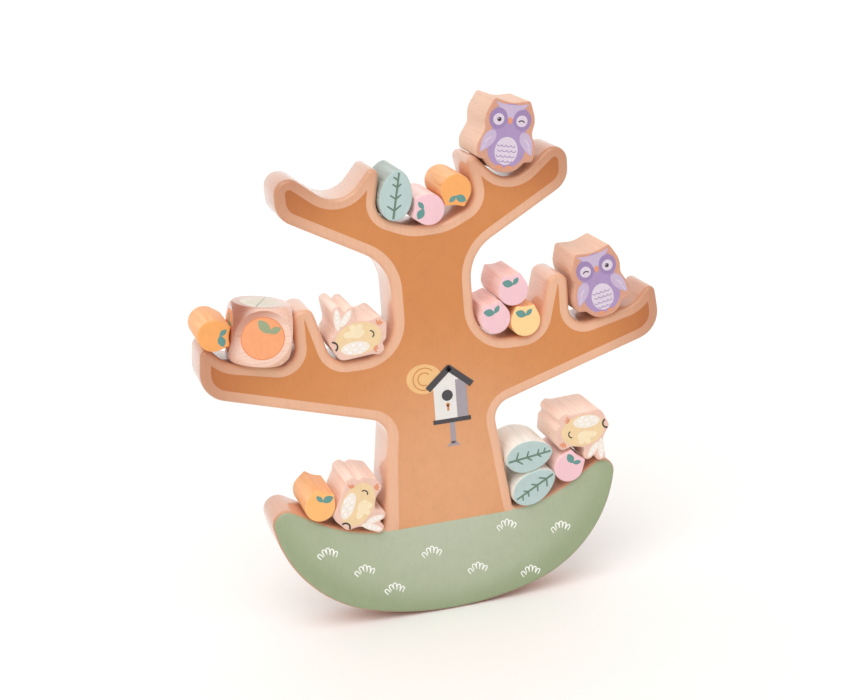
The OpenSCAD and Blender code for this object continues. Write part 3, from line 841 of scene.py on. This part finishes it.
class TREEGAME_OT_birds(Operator):
    """Make the bird blocks with their print"""

    bl_idname = "tree_game.birds"
    bl_label = "Bird blocks"

    def draw_bird(self, art):
        """The bird's picture, with its eye closed."""
        bird, wing, belly, down, dark, beak = range(6)
        art.spot(belly, 1, -10.1, 8.2, 10.8, 3.4, 90, 0.15)
        art.spot(belly, 2, -5.9, 8.4, 9.2, 3.4, 53, 0.15)
        for x, y in [(-10.1, 11.8), (-10.2, 9.4), (-10.1, 7.0), (-4.4, 10.4), (-5.8, 8.6), (-7.1, 6.9)]:
            art.spot(down, 3, x, y, 1.2, 1.5, segments=12)
        for layer, turn in [(1, 104), (2, 68), (1, 32)]:
            self.feather(art, beak, layer, 9.5, 2.9, turn, 3.0, 1.2)
        art.spot(bird, 3, -0.6, -2.3, 22.8, 16.0, 6, segments=48)
        art.spot(wing, 4, -1.2, 0.6, 7.4, 5.2, 4)
        for layer, (x, y, wide, high, turn) in enumerate([
            (-5.2, 0.2, 5.0, 3.4, 5), (-2.9, 3.0, 4.0, 3.2, 125), (0.2, 3.0, 3.8, 3.2, 85),
        ], 5):
            art.spot(wing, layer, x, y, wide, high, turn)
        art.spot(belly, 4, -2.5, -6.7, 14.0, 6.4, 2, segments=40)
        for x, y in [
            (-3.4, -5.2), (-0.1, -5.5), (-7.1, -6.8), (-2.6, -7.6), (1.2, -7.4), (-5.4, -8.5), (-0.4, -9.1),
        ]:
            art.spot(down, 5, x, y, 1.8, 1.4, 10, segments=14)
        art.arc(dark, 5, 5.2, -1.0, 1.8, -57, 147, 0.6)
        for layer, turn in [(4, 34), (5, -2), (6, -52)]:
            self.feather(art, beak, layer, 6.3, -8.2, turn, 2.6, 0.9)
        art.arc(dark, 6, -13.4, -4.7, 2.3, -60, 155, 0.8)

    def feather(self, art, ink, layer, x, y, turn, reach, width):
        """A narrow petal that starts at a point and reaches out along a turn."""
        a = math.radians(turn)
        middle = (x + reach / 2 * math.cos(a), y + reach / 2 * math.sin(a))
        art.spot(ink, layer, *middle, reach, width, turn, 0.3)

    def execute(self, context):
        scene = context.scene.tree_game
        wood = [
            wood_finish("bird_wood", tuple(scene.block.bird_wood), "Y"),
            wood_finish("bird_end_grain", tuple(scene.block.bird_end), "Y", depth=0.5, gloss=0.55),
        ]
        for node, (x, z, turn, mirror) in BIRDS.items():
            bm = block_copy(node, scene.block.edge_round)
            keep(node + "_block", bm, wood, node, "plain_wood", node)
            art = Print(on_front(x, z, turn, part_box(node)[0].y, mirror))
            self.draw_bird(art)
            finishes = inks(scene.prints, "bird", "wing", "belly", "down", "dark", "beak")
            art.keep(node + "_print", finishes, node, "plain_wood")
        return {"FINISHED"}


class TREEGAME_OT_die(Operator):
    """Make the die with a printed fruit on its sides and a leaf on its top"""

    bl_idname = "tree_game.die"
    bl_label = "Die"

    # Angle from which an edge is one of a face's rims, and share of a normal across the die of a flat face
    RIM_ANGLE = math.radians(20)
    FLAT_FACE = 0.98

    def execute(self, context):
        scene = context.scene.tree_game
        low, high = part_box("die")
        middle = (low + high) / 2
        stand = (
            Matrix.Translation(middle)
            @ Matrix.Rotation(math.radians(-DIE_ROLL), 4, "Y")
            @ Matrix.Rotation(math.radians(-DIE_YAW), 4, "Z")
        )
        bm = solid_copy("die")
        rims = [e for e in bm.edges if e.calc_face_angle(0) > self.RIM_ANGLE]
        bmesh.ops.bevel(
            bm, geom=rims, offset=DIE_EDGE_ROUND, offset_type="OFFSET", affect="EDGES", segments=3,
            profile=0.5, material=-1, clamp_overlap=True,
        )
        back = stand.inverted().to_3x3()
        for face in bm.faces:
            face.material_index = 0 if max(abs(v) for v in back @ face.normal) > self.FLAT_FACE else 1

        def from_middle(tint, shift, start, end):
            return tuple(tint), tuple(middle + shift), start, end

        block = scene.block
        # Both lacquers darken away from a point on the die's right: painted shade and dark reflection to the
        # top left
        lacquer = [
            wood_finish(
                "die_wood", tuple(block.die), "X", depth=0.7, gloss=0.3, coat=1.0, lift=0.05 * MM,
                painted_shade=from_middle(block.die_warm, *DIE_SHADE_REACH),
            ),
            wood_finish(
                "die_edge_wood", tuple(block.die), "X", depth=0.4, gloss=0.24, coat=0.5, lift=0.0,
                painted_shade=from_middle(block.die_heart, *DIE_DEEP_SHADE_REACH),
            ),
        ]
        keep("die_block", bm, lacquer, "die", "plain_wood", "die")

        upright = Matrix.Rotation(math.radians(90), 4, "X")
        turns = {
            "front": Matrix.Identity(4),
            "left": Matrix.Rotation(math.radians(-90), 4, "Z"),
            "right": Matrix.Rotation(math.radians(90), 4, "Z"),
            "back": Matrix.Rotation(math.radians(180), 4, "Z"),
            "top": Matrix.Rotation(math.radians(-90), 4, "X"),
            "bottom": Matrix.Rotation(math.radians(90), 4, "X"),
        }
        finishes = inks(scene.prints, "disc", "ring", "sage", "lid", "lid_vein")
        disc, ring, sage, lid, lid_vein = range(5)
        for face, turn in turns.items():
            place = (
                stand @ turn @ Matrix.Translation((0, -DIE_HALF * MM, 0)) @ upright
                @ Matrix.Diagonal((MM, MM, MM, 1))
            )
            if face in ("front", "left", "right", "back"):
                art = Print(place)
                art.spot(ring, 1, 0, 0, 20.8, 20.8, segments=56)
                art.spot(disc, 2, 0, 0, 19.9, 19.9, segments=56)
                art.spot(sage, 3, 0.2, 5.6, 8.2, 4.5, 135, 0.4)
                art.spot(sage, 4, 5.4, 4.1, 5.8, 3.3, 25, 0.4)
            else:
                art = Print(place @ Matrix.Rotation(math.radians(-20), 4, "Z"))
                art.spot(lid, 1, 0, 0, 23.6, 19.6, 90, 0.3, segments=48)
                art.bar(sage, 3, 0, -11.0, 0, 11.0, 0.5, 0.6)
                for along in (-6.4, -1.4, 3.6):
                    for side in (-1, 1):
                        art.bar(lid_vein, 2, 0, along, side * 6.2, along + 3.0, 0.5, 0.6)
            art.keep("die_%s_print" % face, finishes, "die", "plain_wood")
        return {"FINISHED"}


class TREEGAME_OT_stage(Operator):
    """Set up the pale floor, the soft light and the camera"""

    bl_idname = "tree_game.stage"
    bl_label = "Floor, light and camera"

    def lamp(self, light, at):
        """A light that stands at a point and looks at the middle of the tree."""
        lamp = bpy.data.objects.new(light.name, light)
        lamp.location = at
        lamp.rotation_euler = (TREE_MIDDLE - Vector(at)).to_track_quat("-Z", "Y").to_euler()
        bpy.context.scene.collection.objects.link(lamp)

    def execute(self, context):
        look = context.scene.tree_game.stage
        bm = bmesh.new()
        bmesh.ops.create_circle(bm, cap_ends=True, radius=FLOOR_RADIUS, segments=96)
        mesh = bpy.data.meshes.new("floor")
        bm.to_mesh(mesh)
        bm.free()
        mesh.materials.append(ink_finish("floor_paper", tuple(look.floor), 0.15))
        floor = bpy.data.objects.new("floor", mesh)
        context.scene.collection.objects.link(floor)

        key = bpy.data.lights.new("key_light", "SUN")
        key.energy, key.angle = look.key, KEY_SPREAD
        self.lamp(key, KEY_AT)
        fill = bpy.data.lights.new("fill_light", "AREA")
        fill.shape, fill.size, fill.energy = "DISK", FILL_SIZE, look.fill
        self.lamp(fill, FILL_AT)

        context.scene.view_settings.view_transform = "Standard"
        world = bpy.data.worlds.new("studio")
        world.use_nodes = True
        nodes, links = world.node_tree.nodes, world.node_tree.links
        nodes["Background"].inputs["Color"].default_value = SKY_TINT
        where = nodes.new("ShaderNodeTexCoord")
        split = nodes.new("ShaderNodeSeparateXYZ")
        bright = nodes.new("ShaderNodeMapRange")
        bright.inputs["From Min"].default_value = -1.0
        bright.inputs["To Min"].default_value = look.sky * (1 - look.sweep)
        bright.inputs["To Max"].default_value = look.sky * (1 + look.sweep)
        links.new(where.outputs["Generated"], split.inputs["Vector"])
        links.new(split.outputs["Y"], bright.inputs["Value"])
        links.new(bright.outputs["Result"], nodes["Background"].inputs["Strength"])
        context.scene.world = world

        lens = bpy.data.cameras.new("camera")
        lens.lens, lens.sensor_width = LENS, SENSOR
        lens.clip_end = VIEW_END
        camera = bpy.data.objects.new("camera", lens)
        turn = Matrix((CAMERA_RIGHT, CAMERA_UP, CAMERA_OUT)).transposed()
        camera.matrix_world = Matrix.Translation(CAMERA_AT) @ turn.to_4x4()
        context.scene.collection.objects.link(camera)
        context.scene.camera = camera
        return {"FINISHED"}


class TREEGAME_PT_panel(Panel):
    """Sizes, colours and pieces of the balance tree game"""

    bl_idname = "TREEGAME_PT_panel"
    bl_label = "Balance Tree Game"
    bl_space_type = "VIEW_3D"
    bl_region_type = "UI"
    bl_category = "Balance Tree"

    def draw(self, context):
        look = context.scene.tree_game
        for group in (look.board, look.block, look.prints, look.stage):
            box = self.layout.box()
            for name in group.__annotations__:
                box.prop(group, name)
        for piece in PIECES:
            self.layout.operator(piece.bl_idname)


PIECES = [
    TREEGAME_OT_board, TREEGAME_OT_ground_print, TREEGAME_OT_fruits, TREEGAME_OT_leaves,
    TREEGAME_OT_owls, TREEGAME_OT_birds, TREEGAME_OT_die, TREEGAME_OT_stage,
]
CLASSES = [BoardLook, BlockLook, PrintLook, StageLook, TreeGameLook, *PIECES, TREEGAME_PT_panel]


def register():
    for cls in CLASSES:
        bpy.utils.register_class(cls)
    bpy.types.Scene.tree_game = PointerProperty(type=TreeGameLook)


def unregister():
    del bpy.types.Scene.tree_game
    for cls in reversed(CLASSES):
        bpy.utils.unregister_class(cls)


def main():
    register()
    bpy.ops.tree_game.board()
    bpy.ops.tree_game.ground_print()
    bpy.ops.tree_game.fruits()
    bpy.ops.tree_game.leaves()
    bpy.ops.tree_game.owls()
    bpy.ops.tree_game.birds()
    bpy.ops.tree_game.die()
    bpy.ops.tree_game.stage()


if __name__ == "__main__":
    main()
